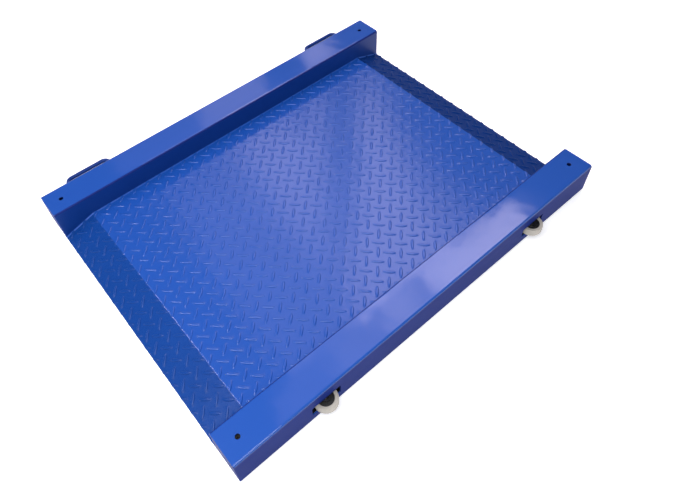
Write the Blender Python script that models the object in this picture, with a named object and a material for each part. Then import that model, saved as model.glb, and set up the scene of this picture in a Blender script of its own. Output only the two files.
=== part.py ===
"""A low-profile drive-through platform scale.

One folded checkered-plate deck with a ramp at each end hangs between two folded side rails. Each rail
holds two shear-beam load cells, and each cell stands on a levelling foot. Two wheels look out of the
front rail, for rolling the scale on its edge, and two handles stand out of the back rail.

Metres, +Z up. The floor is at Z = 0, X runs along the rails, the front (wheel) side is at -Y, and the
origin is the centre of the whole scale's footprint.
"""

import math

import bmesh
import bpy
from mathutils import Vector

# ---------------------------------------------------------------- overall sizes
LENGTH = 1.200              # ramp toe to ramp toe, and rail end to rail end
WIDTH = 0.940               # outer face to outer face of the rails
RAIL_WIDTH = 0.090
RAIL_HEIGHT = 0.096         # rail's lower edge to its top face
FLOOR_GAP = 0.006           # floor to the rail's lower edge
DECK_HEIGHT = 0.030         # rail's lower edge to the deck's top
RAMP_LENGTH = 0.092

# ---------------------------------------------------------------- sheet metal
RAIL_SHEET = 0.003
RAIL_BEND = 0.005           # outside radius of a rail's folds
DECK_SHEET = 0.006
DECK_BEND = 0.014           # radius of the deck's top face at a fold
TOE_FLOOR_GAP = 0.003       # floor to the underside of a ramp's toe
TOE_THICKNESS = 0.003
END_SHEET = 0.003
RIB_SHEET = 0.010
RIB_PITCH = 0.300

# ---------------------------------------------------------------- gaps between touching pieces
GAP = 0.0003
CLEARANCE = 0.0005          # between a bolt and the hole that it passes through
PAST = 0.002                # how far a cut runs past the face that it goes through

# ---------------------------------------------------------------- levelling feet and load cells
FOOT_INSET = 0.042          # foot's axis to the rail's end
KEY_HOLE_RADIUS = 0.006     # opening in the rail's top, over each foot
PAD_RADIUS = 0.023
SOLE_HEIGHT = 0.004
SOLE_EDGE = 0.001
PAD_HEIGHT = 0.012
SPIGOT_RADIUS = 0.004
SPIGOT_LENGTH = 0.0072
COLLAR_HEIGHT = 0.006
COLLAR_FLATS = 0.017
STEM_RADIUS = 0.006
STEM_TOP_GAP = 0.011        # stem's top to the underside of the rail's top
STEM_CHAMFER = 0.001
STEM_KEY_FLATS = 0.006
STEM_KEY_DEPTH = 0.006
NUT_HEIGHT = 0.010
NUT_FLATS = 0.019
NUT_ROOM = 0.0114           # collar to lock nut, for levelling, at the usual rail height
BLOCK_ROOM = 0.023          # load cell to the rail's top, where the block goes, likewise
CELL_LENGTH = 0.130
CELL_WIDTH = 0.032
CELL_HEIGHT = 0.032
CELL_EDGE = 0.001
CELL_FOOT_OFFSET = 0.016    # foot's axis to the load cell's outer end
POCKET_RADIUS = 0.011
POCKET_DEPTH = 0.010
POCKET_OFFSET = 0.054       # foot's axis to the sensing pocket's centre
BOLT_OFFSETS = (0.076, 0.101)   # foot's axis to each of the two cell bolts
BOLT_RADIUS = 0.006
BOLT_HEAD_RADIUS = 0.009
BOLT_HEAD_HEIGHT = 0.012
BOLT_KEY_FLATS = 0.010
BOLT_KEY_DEPTH = 0.006
BOLT_TOP_GAP = 0.005        # bolt's end to the underside of the rail's top
BLOCK_WIDTH = 0.060
BLOCK_MARGIN = 0.016        # bolt's axis to the block's end

# ---------------------------------------------------------------- wheels
WHEEL_INSET = 0.242         # wheel's axis to the rail's end
WHEEL_RADIUS = 0.029
WHEEL_WIDTH = 0.022
WHEEL_RECESS = 0.003        # wheel's axis behind the rail's outer face
WHEEL_HEIGHT = 0.0395       # rail's lower edge to the wheel's mid-plane
TYRE_DEPTH = 0.009
TYRE_EDGE = 0.003
HUB_DISH = 0.003            # hub's web below its rim, on each side
HUB_RIM = 0.003
HUB_BOSS_RADIUS = 0.0085
AXLE_RADIUS = 0.004
AXLE_HEAD_RADIUS = 0.007
AXLE_HEAD_HEIGHT = 0.002
SLOT_LENGTH = 0.082
SLOT_HEIGHT = 0.035
FORK_SHEET = 0.0025
FORK_SIDE_PLAY = 0.0006     # between the wheel and each cheek
FORK_BACK_PLAY = 0.004      # between the wheel and the fork's back
FORK_SLOT_MARGIN = 0.002
FORK_FLANGE = 0.014
CHEEK_RADIUS = 0.010
CHEEK_ROOT = 0.016          # half the cheek's width where it leaves the back

# ---------------------------------------------------------------- handles
HANDLE_INSET = 0.152        # handle's middle to the rail's end
HANDLE_LENGTH = 0.142
HANDLE_REACH = 0.052
HANDLE_RADIUS = 0.006
HANDLE_BEND = 0.016         # radius of the bar's centreline at its corners
HANDLE_DROP = 0.038         # rail's top to the bar's centreline

# ---------------------------------------------------------------- junction box and cables
BOX_LENGTH = 0.150
BOX_WIDTH = 0.066
BOX_HEIGHT = 0.038
BOX_WALL = 0.003
LID_HEIGHT = 0.003
GLAND_HEIGHT = 0.045        # rail's lower edge to the outlet gland's axis
GLAND_THREAD = 0.008
GLAND_RADIUS = 0.011
GLAND_LENGTH = 0.022
GLAND_TAIL = 0.009          # gland's thread inside the rail
GLAND_BORE = 0.0032
CONDUIT_X = 0.160
CONDUIT_RADIUS = 0.010
CONDUIT_WALL = 0.0017
CONDUIT_TAIL = 0.003        # conduit's length inside each rail
CONDUIT_HEIGHT = 0.0125     # rail's lower edge to the conduit's axis
CABLE_RADIUS = 0.0025
CABLE_BEND = 0.020
CABLE_SPACING = 0.0035      # half the distance between the two cables in the conduit
CABLE_LANE = 0.017          # front cables' offset from the rail's middle, past the forks

# ---------------------------------------------------------------- roundness
SEGMENTS = 24               # round pieces and holes
HIDDEN_SEGMENTS = 16        # bolts, nuts and holes inside the rails
TYRE_SEGMENTS = 36
FOLD_SEGMENTS = 4

# ---------------------------------------------------------------- heights and places worked out from these
WHEEL_REACH = WHEEL_RADIUS - WHEEL_RECESS
MIDDLE_Y = (WHEEL_REACH - HANDLE_REACH) / 2     # the platform's middle, from the footprint's centre
FRONT_FACE = MIDDLE_Y - WIDTH / 2
BACK_FACE = MIDDLE_Y + WIDTH / 2
FRONT_RAIL_Y = FRONT_FACE + RAIL_WIDTH / 2
BACK_RAIL_Y = BACK_FACE - RAIL_WIDTH / 2
LANE_FRONT = FRONT_FACE + RAIL_WIDTH            # the front rail's inner face
LANE_BACK = BACK_FACE - RAIL_WIDTH              # the back rail's inner face
RAIL_TOP = FLOOR_GAP + RAIL_HEIGHT
CEILING = RAIL_TOP - RAIL_SHEET                 # underside of a rail's top
DECK_TOP = FLOOR_GAP + DECK_HEIGHT
DECK_UNDERSIDE = DECK_TOP - DECK_SHEET
HALF = LENGTH / 2
FOOT_X = HALF - FOOT_INSET
WHEEL_X = HALF - WHEEL_INSET
WHEEL_Y = FRONT_FACE + WHEEL_RECESS
WHEEL_Z = FLOOR_GAP + WHEEL_HEIGHT
COLLAR_TOP = SOLE_HEIGHT + PAD_HEIGHT + GAP + COLLAR_HEIGHT
# the height that the nut and the cell leave between collar and rail top, shared as the two rooms are
SPARE_HEIGHT = CEILING - COLLAR_TOP - NUT_HEIGHT - GAP - CELL_HEIGHT
NUT_BOTTOM = COLLAR_TOP + SPARE_HEIGHT * NUT_ROOM / (NUT_ROOM + BLOCK_ROOM)
CELL_BOTTOM = NUT_BOTTOM + NUT_HEIGHT + GAP
CELL_TOP = CELL_BOTTOM + CELL_HEIGHT
HANDLE_Z = RAIL_TOP - HANDLE_DROP
CONDUIT_Z = FLOOR_GAP + CONDUIT_HEIGHT
CABLE_Z = CELL_BOTTOM + CELL_HEIGHT / 2

for old in list(bpy.data.objects):
    bpy.data.objects.remove(old)


# ---------------------------------------------------------------- materials
def paint(name, colour, roughness, metallic=0.0):
    """One Principled material. Colour is linear red, green and blue."""
    made = bpy.data.materials.new(name)
    made.use_nodes = True
    shader = made.node_tree.nodes["Principled BSDF"]
    shader.inputs["Base Color"].default_value = (*colour, 1.0)
    shader.inputs["Roughness"].default_value = roughness
    shader.inputs["Metallic"].default_value = metallic
    made.diffuse_color = (*colour, 1.0)
    return made


BLUE_ENAMEL = paint("blue_enamel", (0.030, 0.085, 0.440), 0.25)
NICKEL = paint("nickel_plate", (0.62, 0.60, 0.55), 0.35, 1.0)
ZINC = paint("zinc_plate", (0.55, 0.56, 0.58), 0.40, 1.0)
DARK_STEEL = paint("dark_steel", (0.030, 0.035, 0.060), 0.40)
GREY_TYRE = paint("grey_tyre", (0.48, 0.46, 0.42), 0.60)
BLACK_NYLON = paint("black_nylon", (0.020, 0.020, 0.019), 0.50)
BLACK_RUBBER = paint("black_rubber", (0.015, 0.015, 0.015), 0.80)
CAST_ALUMINIUM = paint("cast_aluminium", (0.42, 0.43, 0.45), 0.55, 1.0)
GREY_SHEATH = paint("grey_sheath", (0.09, 0.09, 0.095), 0.55)


# ---------------------------------------------------------------- shapes
def put(name, form, material, parent=None):
    """Turns a bmesh into a named object with its faces pointing out."""
    bmesh.ops.recalc_face_normals(form, faces=form.faces)
    mesh = bpy.data.meshes.new(name)
    form.to_mesh(mesh)
    form.free()
    mesh.shade_smooth()
    mesh.set_sharp_from_angle(angle=math.radians(30))
    made = bpy.data.objects.new(name, mesh)
    bpy.context.scene.collection.objects.link(made)
    if material is not None:
        mesh.materials.append(material)
    made.parent = parent
    return made


def prism(outline, axis, low, high):
    """A flat outline extruded along X, Y or Z. The outline's two coordinates are the other two axes."""
    def point(a, b, along):
        return {"X": (along, a, b), "Y": (a, along, b), "Z": (a, b, along)}[axis]
    form = bmesh.new()
    near = [form.verts.new(point(a, b, low)) for a, b in outline]
    far = [form.verts.new(point(a, b, high)) for a, b in outline]
    form.faces.new(near)
    form.faces.new(list(reversed(far)))
    for i, corner in enumerate(near):
        following = (i + 1) % len(near)
        form.faces.new((corner, far[i], far[following], near[following]))
    return form


def block(low, high):
    """An upright box between two corners."""
    outline = [(low[0], low[1]), (high[0], low[1]), (high[0], high[1]), (low[0], high[1])]
    return prism(outline, "Z", low[2], high[2])


def turned(profile, axis="Z", segments=SEGMENTS):
    """A profile of (radius, height) points turned about Z, or about Y with heights running to +Y."""
    form = bmesh.new()
    corners = [form.verts.new((radius, 0.0, height)) for radius, height in profile]
    edges = [form.edges.new(pair) for pair in zip(corners, corners[1:])]
    on_axis = profile[0][0] == 0.0 and profile[-1][0] == 0.0
    if not on_axis:
        edges.append(form.edges.new((corners[-1], corners[0])))
    bmesh.ops.spin(
        form, geom=corners + edges, cent=(0, 0, 0), axis=(0, 0, 1), angle=math.tau, steps=segments
    )
    bmesh.ops.remove_doubles(form, verts=form.verts, dist=0.000001)
    if axis == "Y":
        for corner in form.verts:
            x, y, z = corner.co
            corner.co = (x, z, -y)
    return form


def rod(radius, low, high, axis="Z", segments=SEGMENTS):
    """A plain round bar along Z or Y."""
    return turned([(0.0, low), (radius, low), (radius, high), (0.0, high)], axis, segments)


def hidden_rod(radius, low, high):
    """A coarser round bar along Z, for what stays out of sight."""
    return rod(radius, low, high, segments=HIDDEN_SEGMENTS)


def arc(centre, radius, start, end, steps):
    """Points on a circle from one angle to another, both in degrees and both included."""
    return [
        (
            centre[0] + radius * math.cos(math.radians(start + (end - start) * i / steps)),
            centre[1] + radius * math.sin(math.radians(start + (end - start) * i / steps)),
        )
        for i in range(steps + 1)
    ]


def hexagon(flats):
    """Six corners of a hexagon with this distance across its flats."""
    return arc((0.0, 0.0), flats / math.sqrt(3), 0, 300, 5)


def move(form, offset):
    bmesh.ops.translate(form, verts=form.verts, vec=Vector(offset))
    return form


def combine(target, tool_form, operation, name):
    """Cuts a shape from an object, or joins one to it, by a Boolean with a hidden tool."""
    tool = put(name, tool_form, None, target.parent)
    tool.hide_render = True
    tool.display_type = "WIRE"
    modifier = target.modifiers.new(name, "BOOLEAN")
    modifier.operation = operation
    modifier.solver = "EXACT"
    modifier.object = tool


def cut(target, tool_form, name):
    combine(target, tool_form, "DIFFERENCE", name)


def join(target, tool_form, name):
    combine(target, tool_form, "UNION", name)


def tube(name, points, radius, material, resolution=2):
    """A round bar or cable along a chain of points, with closed ends."""
    curve = bpy.data.curves.new(name, "CURVE")
    curve.dimensions = "3D"
    curve.bevel_depth = radius
    curve.bevel_resolution = resolution
    curve.use_fill_caps = True
    curve.materials.append(material)
    spline = curve.splines.new("POLY")
    spline.points.add(len(points) - 1)
    for place, point in zip(spline.points, points):
        place.co = (*point, 1.0)
    spline.use_smooth = True
    made = bpy.data.objects.new(name, curve)
    bpy.context.scene.collection.objects.link(made)
    return made


def rounded(route, radius, steps=4):
    """A route through corner points with each inner corner rounded off to this radius."""
    points = [Vector(route[0])]
    for before, corner, after in zip(route, route[1:], route[2:]):
        corner = Vector(corner)
        back = (Vector(before) - corner).normalized()
        ahead = (Vector(after) - corner).normalized()
        half_angle = back.angle(ahead) / 2
        reach = radius / math.tan(half_angle)
        middle = corner + (back + ahead).normalized() * (radius / math.sin(half_angle))
        start = corner + back * reach - middle
        end = corner + ahead * reach - middle
        turn = start.angle(end)
        for i in range(steps + 1):
            share = i / steps
            points.append(
                middle
                + start * (math.sin((1 - share) * turn) / math.sin(turn))
                + end * (math.sin(share * turn) / math.sin(turn))
            )
    points.append(Vector(route[-1]))
    return points


# ---------------------------------------------------------------- deck and its ribs
def fold_outline():
    """The folded plate seen along Y: flat deck, a bend and a ramp at each end, toes ground flat below."""
    toe_top = TOE_FLOOR_GAP + TOE_THICKNESS
    slope = math.atan2(DECK_TOP - toe_top, RAMP_LENGTH)
    degrees = math.degrees(slope)
    bend_x = HALF - RAMP_LENGTH - DECK_BEND * math.tan(slope / 2)
    centre = (bend_x, DECK_TOP - DECK_BEND)
    upper = arc(centre, DECK_BEND, 90, 90 - degrees, FOLD_SEGMENTS)
    lower = arc(centre, DECK_BEND - DECK_SHEET, 90 - degrees, 90, FOLD_SEGMENTS)
    ramp_end = lower[0][0] + (lower[0][1] - TOE_FLOOR_GAP) / math.tan(slope)
    right = upper + [(HALF, toe_top), (HALF, TOE_FLOOR_GAP), (ramp_end, TOE_FLOOR_GAP)] + lower
    left = [(-x, z) for x, z in reversed(right)]
    return right + left


def build_deck():
    put(
        "deck_plate",
        prism(fold_outline(), "Y", LANE_FRONT + GAP, LANE_BACK - GAP),
        BLUE_ENAMEL,
    )
    for number, x in enumerate((-RIB_PITCH, 0.0, RIB_PITCH), start=1):
        low = (x - RIB_SHEET / 2, LANE_FRONT + GAP, FLOOR_GAP)
        high = (x + RIB_SHEET / 2, LANE_BACK - GAP, DECK_UNDERSIDE - GAP)
        put(f"deck_rib_{number}", block(low, high), BLUE_ENAMEL)


# ---------------------------------------------------------------- rails and their ends
def channel_outline(middle_y):
    """An inverted U seen along X, with rounded folds."""
    half = RAIL_WIDTH / 2
    inner_bend = RAIL_BEND - RAIL_SHEET
    y_bend = half - RAIL_BEND
    z_bend = RAIL_TOP - RAIL_BEND
    outer = arc((y_bend, z_bend), RAIL_BEND, 0, 90, FOLD_SEGMENTS)
    inner = arc((y_bend, z_bend), inner_bend, 90, 0, FOLD_SEGMENTS)
    right = [(half, FLOOR_GAP)] + outer
    left = [(-y, z) for y, z in reversed(right)]
    right_inner = inner + [(half - RAIL_SHEET, FLOOR_GAP)]
    left_inner = [(-y, z) for y, z in reversed(right_inner)]
    return [(middle_y + y, z) for y, z in right + left + left_inner + right_inner]


def end_outline(middle_y):
    """The closed outline of a rail's end."""
    half = RAIL_WIDTH / 2
    corner = arc((half - RAIL_BEND, RAIL_TOP - RAIL_BEND), RAIL_BEND, 0, 90, FOLD_SEGMENTS)
    right = [(half, FLOOR_GAP)] + corner
    left = [(-y, z) for y, z in reversed(right)]
    return [(middle_y + y, z) for y, z in right + left]


def build_rail(name, middle_y, inner_side):
    """One rail with its two key holes, its conduit hole and its two end plates."""
    end = HALF - END_SHEET - GAP
    rail = put(name + "_rail", prism(channel_outline(middle_y), "X", -end, end), BLUE_ENAMEL)
    for side, x in (("left", -FOOT_X), ("right", FOOT_X)):
        hole = rod(KEY_HOLE_RADIUS, CEILING - PAST, RAIL_TOP + PAST)
        cut(rail, move(hole, (x, middle_y, 0)), f"{name}_{side}_key_hole")
    inner_face = middle_y + inner_side * RAIL_WIDTH / 2
    reach = RAIL_SHEET + PAST
    conduit_hole = rod(CONDUIT_RADIUS + GAP, inner_face - reach, inner_face + reach, "Y")
    cut(rail, move(conduit_hole, (CONDUIT_X, 0, CONDUIT_Z)), f"{name}_conduit_hole")
    for side, direction in (("left", -1), ("right", 1)):
        faces = sorted((direction * HALF, direction * (HALF - END_SHEET)))
        put(f"{name}_{side}_end_plate", prism(end_outline(middle_y), "X", *faces), BLUE_ENAMEL)
    return rail


def build_rails():
    front = build_rail("front", FRONT_RAIL_Y, 1)
    for side, x in (("left", -WHEEL_X), ("right", WHEEL_X)):
        low = (x - SLOT_LENGTH / 2, FRONT_FACE - PAST, WHEEL_Z - SLOT_HEIGHT / 2)
        high = (x + SLOT_LENGTH / 2, FRONT_FACE + RAIL_SHEET + PAST, WHEEL_Z + SLOT_HEIGHT / 2)
        cut(front, block(low, high), f"{side}_wheel_slot")
    back = build_rail("back", BACK_RAIL_Y, -1)
    hole = rod(GLAND_THREAD + CLEARANCE, BACK_FACE - RAIL_SHEET - PAST, BACK_FACE + PAST, "Y")
    cut(back, move(hole, (0, 0, FLOOR_GAP + GLAND_HEIGHT)), "gland_hole")


# ---------------------------------------------------------------- one corner: foot, cell, block, bolts
def build_corner(name, place):
    """Everything that hangs under one rail end. Local +X runs from the foot's axis to that end."""
    sole = [
        (0.0, 0.0),
        (PAD_RADIUS - SOLE_EDGE, 0.0),
        (PAD_RADIUS, SOLE_EDGE),
        (PAD_RADIUS, SOLE_HEIGHT),
        (0.0, SOLE_HEIGHT),
    ]
    put(f"{name}_foot_sole", turned(sole, segments=HIDDEN_SEGMENTS), BLACK_RUBBER, place)

    pad_low = SOLE_HEIGHT + GAP
    pad_top = SOLE_HEIGHT + PAD_HEIGHT
    socket = SPIGOT_RADIUS + GAP
    socket_floor = pad_top - SPIGOT_LENGTH - GAP
    pad = [
        (0.0, pad_low),
        (PAD_RADIUS, pad_low),
        (PAD_RADIUS, pad_low + PAD_HEIGHT * 0.3),
        (PAD_RADIUS * 0.55, pad_low + PAD_HEIGHT * 0.75),
        (PAD_RADIUS * 0.40, pad_top),
        (socket, pad_top),
        (socket, socket_floor),
        (0.0, socket_floor),
    ]
    put(f"{name}_foot_pad", turned(pad, segments=HIDDEN_SEGMENTS), ZINC, place)

    collar_low = pad_top + GAP
    stem_top = CEILING - STEM_TOP_GAP
    spigot_low = socket_floor + GAP
    stem_profile = [
        (0.0, spigot_low),
        (SPIGOT_RADIUS, spigot_low),
        (SPIGOT_RADIUS, collar_low + COLLAR_HEIGHT / 2),
        (STEM_RADIUS, collar_low + COLLAR_HEIGHT / 2),
        (STEM_RADIUS, stem_top - STEM_CHAMFER),
        (STEM_RADIUS - STEM_CHAMFER, stem_top),
        (0.0, stem_top),
    ]
    stem = put(f"{name}_foot_stem", turned(stem_profile, segments=HIDDEN_SEGMENTS), ZINC, place)
    collar = prism(hexagon(COLLAR_FLATS), "Z", collar_low, collar_low + COLLAR_HEIGHT)
    join(stem, collar, f"{name}_stem_collar")
    key = prism(hexagon(STEM_KEY_FLATS), "Z", stem_top - STEM_KEY_DEPTH, stem_top + PAST)
    cut(stem, key, f"{name}_stem_key")

    nut = put(
        f"{name}_lock_nut",
        prism(hexagon(NUT_FLATS), "Z", NUT_BOTTOM, NUT_BOTTOM + NUT_HEIGHT),
        ZINC,
        place,
    )
    nut_hole = hidden_rod(STEM_RADIUS + CLEARANCE, NUT_BOTTOM - PAST, CELL_BOTTOM)
    cut(nut, nut_hole, f"{name}_nut_hole")

    inner_end = CELL_FOOT_OFFSET - CELL_LENGTH
    low = (inner_end, -CELL_WIDTH / 2, CELL_BOTTOM)
    high = (CELL_FOOT_OFFSET, CELL_WIDTH / 2, CELL_TOP)
    cell = put(f"{name}_load_cell", block(low, high), NICKEL, place)
    edges = cell.modifiers.new("machined_edges", "BEVEL")
    edges.width = CELL_EDGE
    edges.segments = 1
    edges.limit_method = "ANGLE"
    holes = [("foot", 0.0, STEM_RADIUS)] + [
        (f"bolt_{number}", -offset, BOLT_RADIUS) for number, offset in enumerate(BOLT_OFFSETS, start=1)
    ]
    for label, x, radius in holes:
        hole = hidden_rod(radius + CLEARANCE, CELL_BOTTOM - PAST, CELL_TOP + PAST)
        cut(cell, move(hole, (x, 0, 0)), f"{name}_cell_{label}_hole")
    for label, side in (("front", -1), ("back", 1)):
        depths = sorted((side * (CELL_WIDTH / 2 - POCKET_DEPTH), side * (CELL_WIDTH / 2 + PAST)))
        pocket = rod(POCKET_RADIUS, *depths, "Y")
        cut(cell, move(pocket, (-POCKET_OFFSET, 0, CABLE_Z)), f"{name}_cell_{label}_pocket")

    low = (-BOLT_OFFSETS[1] - BLOCK_MARGIN, -BLOCK_WIDTH / 2, CELL_TOP + GAP)
    high = (-BOLT_OFFSETS[0] + BLOCK_MARGIN, BLOCK_WIDTH / 2, CEILING - GAP)
    spacer = put(f"{name}_cell_block", block(low, high), BLUE_ENAMEL, place)
    head_top = CELL_BOTTOM - GAP
    bolt_top = CEILING - BOLT_TOP_GAP
    for number, offset in enumerate(BOLT_OFFSETS, start=1):
        thread_hole = hidden_rod(BOLT_RADIUS + CLEARANCE, CELL_TOP - PAST, bolt_top + PAST)
        cut(spacer, move(thread_hole, (-offset, 0, 0)), f"{name}_block_hole_{number}")
        profile = [
            (0.0, head_top - BOLT_HEAD_HEIGHT),
            (BOLT_HEAD_RADIUS, head_top - BOLT_HEAD_HEIGHT),
            (BOLT_HEAD_RADIUS, head_top),
            (BOLT_RADIUS, head_top),
            (BOLT_RADIUS, bolt_top),
            (0.0, bolt_top),
        ]
        turning = move(turned(profile, segments=HIDDEN_SEGMENTS), (-offset, 0, 0))
        bolt = put(f"{name}_cell_bolt_{number}", turning, ZINC, place)
        bolt_foot = head_top - BOLT_HEAD_HEIGHT
        key = prism(hexagon(BOLT_KEY_FLATS), "Z", bolt_foot - PAST, bolt_foot + BOLT_KEY_DEPTH)
        cut(bolt, move(key, (-offset, 0, 0)), f"{name}_bolt_key_{number}")


def build_corners():
    for rail, y in (("front", FRONT_RAIL_Y), ("back", BACK_RAIL_Y)):
        for side, x, turn in (("left", -FOOT_X, math.pi), ("right", FOOT_X, 0.0)):
            place = bpy.data.objects.new(f"{rail}_{side}_corner", None)
            place.location = (x, y, 0)
            place.rotation_euler = (0, 0, turn)
            bpy.context.scene.collection.objects.link(place)
            build_corner(f"{rail}_{side}", place)


# ---------------------------------------------------------------- wheels and their forks
def build_wheel(name, x):
    """A tyre and hub turning on an upright axle, in a fork fixed behind the slot in the front rail."""
    place = bpy.data.objects.new(f"{name}_wheel_axis", None)
    place.location = (x, WHEEL_Y, WHEEL_Z)
    bpy.context.scene.collection.objects.link(place)

    half = WHEEL_WIDTH / 2
    inner = WHEEL_RADIUS - TYRE_DEPTH
    tyre = [(inner, -half), (WHEEL_RADIUS - TYRE_EDGE, -half)]
    tyre += arc((WHEEL_RADIUS - TYRE_EDGE, -half + TYRE_EDGE), TYRE_EDGE, -45, 0, 1)
    tyre += arc((WHEEL_RADIUS - TYRE_EDGE, half - TYRE_EDGE), TYRE_EDGE, 0, 45, 1)
    tyre += [(WHEEL_RADIUS - TYRE_EDGE, half), (inner, half)]
    put(f"{name}_wheel_tyre", turned(tyre, segments=TYRE_SEGMENTS), GREY_TYRE, place)

    rim = inner - GAP
    web = half - HUB_DISH
    bore = AXLE_RADIUS + GAP
    hub = [
        (bore, -half),
        (HUB_BOSS_RADIUS, -half),
        (HUB_BOSS_RADIUS, -web),
        (rim - HUB_RIM, -web),
        (rim - HUB_RIM, -half + GAP),
        (rim, -half + GAP),
        (rim, half - GAP),
        (rim - HUB_RIM, half - GAP),
        (rim - HUB_RIM, web),
        (HUB_BOSS_RADIUS, web),
        (HUB_BOSS_RADIUS, half),
        (bore, half),
    ]
    put(f"{name}_wheel_hub", turned(hub), BLACK_NYLON, place)

    cheek_low = half + FORK_SIDE_PLAY
    cheek_top = cheek_low + FORK_SHEET
    head = cheek_top + GAP
    axle = [
        (0.0, -head - AXLE_HEAD_HEIGHT),
        (AXLE_HEAD_RADIUS * 0.7, -head - AXLE_HEAD_HEIGHT),
        (AXLE_HEAD_RADIUS, -head),
        (AXLE_RADIUS, -head),
        (AXLE_RADIUS, head),
        (AXLE_HEAD_RADIUS, head),
        (AXLE_HEAD_RADIUS * 0.7, head + AXLE_HEAD_HEIGHT),
        (0.0, head + AXLE_HEAD_HEIGHT),
    ]
    put(f"{name}_wheel_axle", turned(axle, segments=HIDDEN_SEGMENTS), ZINC, place)

    leg = SLOT_LENGTH / 2 + FORK_SLOT_MARGIN
    leg_outer = leg + FORK_SHEET
    flange = leg_outer + FORK_FLANGE
    flange_front = RAIL_SHEET - WHEEL_RECESS + GAP
    flange_back = flange_front + FORK_SHEET
    back_front = WHEEL_RADIUS + FORK_BACK_PLAY
    back_back = back_front + FORK_SHEET
    right = [(leg, back_front), (leg, flange_front), (flange, flange_front)]
    right += [(flange, flange_back), (leg_outer, flange_back), (leg_outer, back_back)]
    hat = right + [(-a, b) for a, b in reversed(right)]
    fork = put(f"{name}_wheel_fork", prism(hat, "Z", -cheek_top, cheek_top), DARK_STEEL, place)
    root = back_front + FORK_SHEET / 2
    cheek = [(-CHEEK_ROOT, root)] + arc((0.0, 0.0), CHEEK_RADIUS, -180, 0, 12) + [(CHEEK_ROOT, root)]
    join(fork, prism(cheek, "Z", cheek_low, cheek_top), f"{name}_upper_cheek")
    join(fork, prism(cheek, "Z", -cheek_top, -cheek_low), f"{name}_lower_cheek")
    cut(fork, rod(AXLE_RADIUS + GAP, -head, head), f"{name}_axle_hole")


def build_wheels():
    build_wheel("left", -WHEEL_X)
    build_wheel("right", WHEEL_X)


# ---------------------------------------------------------------- handles
def build_handles():
    half = HANDLE_LENGTH / 2 - HANDLE_RADIUS
    out = BACK_FACE + HANDLE_REACH - HANDLE_RADIUS
    foot = BACK_FACE + GAP
    for name, x in (("left_handle", HANDLE_INSET - HALF), ("right_handle", HALF - HANDLE_INSET)):
        route = [(x - half, foot), (x - half, out), (x + half, out), (x + half, foot)]
        path = rounded([(a, b, HANDLE_Z) for a, b in route], HANDLE_BEND)
        tube(name, path, HANDLE_RADIUS, BLUE_ENAMEL)


# ---------------------------------------------------------------- junction box, gland, conduit and cables
def build_junction_box():
    top = CEILING - GAP
    bottom = top - BOX_HEIGHT
    half = (BOX_LENGTH / 2, BOX_WIDTH / 2)
    low = (-half[0], BACK_RAIL_Y - half[1], bottom)
    high = (half[0], BACK_RAIL_Y + half[1], top)
    housing = put("junction_box", block(low, high), CAST_ALUMINIUM)
    hollow_low = (low[0] + BOX_WALL, low[1] + BOX_WALL, bottom - BOX_WALL)
    hollow_high = (high[0] - BOX_WALL, high[1] - BOX_WALL, top - BOX_WALL)
    cut(housing, block(hollow_low, hollow_high), "junction_box_hollow")
    lid_top = bottom - GAP
    put(
        "junction_box_lid",
        block((low[0], low[1], lid_top - LID_HEIGHT), (high[0], high[1], lid_top)),
        CAST_ALUMINIUM,
    )
    return bottom, top


def build_gland():
    """The outlet gland on the back rail: a threaded tail through the sheet and a domed nut outside."""
    start = BACK_FACE - RAIL_SHEET - GLAND_TAIL
    face = BACK_FACE + GAP
    end = BACK_FACE + GLAND_LENGTH
    profile = [
        (GLAND_BORE, start),
        (GLAND_THREAD, start),
        (GLAND_THREAD, face),
        (GLAND_RADIUS, face),
        (GLAND_RADIUS, end - GLAND_LENGTH * 0.35),
        (GLAND_RADIUS * 0.86, end - GLAND_LENGTH * 0.15),
        (GLAND_RADIUS * 0.55, end),
        (GLAND_BORE, end),
    ]
    put("cable_gland", move(turned(profile, "Y"), (0, 0, FLOOR_GAP + GLAND_HEIGHT)), BLACK_NYLON)


def build_conduit():
    """A tube under the deck that carries the front rail's cables to the back rail."""
    start = LANE_FRONT - RAIL_SHEET - CONDUIT_TAIL
    end = LANE_BACK + RAIL_SHEET + CONDUIT_TAIL
    inner = CONDUIT_RADIUS - CONDUIT_WALL
    profile = [(inner, start), (CONDUIT_RADIUS, start), (CONDUIT_RADIUS, end), (inner, end)]
    conduit = turned(profile, "Y", HIDDEN_SEGMENTS)
    put("cable_conduit", move(conduit, (CONDUIT_X, 0, CONDUIT_Z)), BLUE_ENAMEL)


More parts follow.
